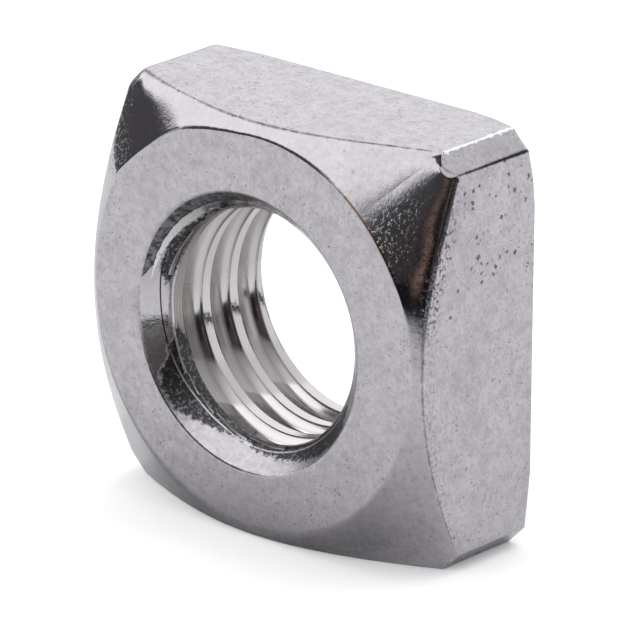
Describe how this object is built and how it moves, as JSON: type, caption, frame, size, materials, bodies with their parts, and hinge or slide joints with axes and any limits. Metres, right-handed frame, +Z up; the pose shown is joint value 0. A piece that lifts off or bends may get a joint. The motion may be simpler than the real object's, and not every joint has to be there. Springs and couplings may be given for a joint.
{
  "type": "square nut",
  "caption": "Stainless steel square nut with a coarse right-hand metric thread, countersunk mouths, broken corners and one chamfered face, standing on a flat.",
  "frame": {"origin": "centre of the bottom of the bounding box, on the surface that the nut stands on", "axes": "+Y along the bore from the chamfered face to the plain bearing face, +Z up from the flat that it stands on, +X to the right as seen from the chamfered face"},
  "size_m": [0.0156, 0.0062, 0.0157],
  "materials": {
    "stainless_steel": "plain cold-formed stainless steel, satin flats with fine pits, brighter turned chamfer and thread"
  },
  "bodies": {
    "root": {"square_nut": "stainless_steel"}
  },
  "joints": []
}
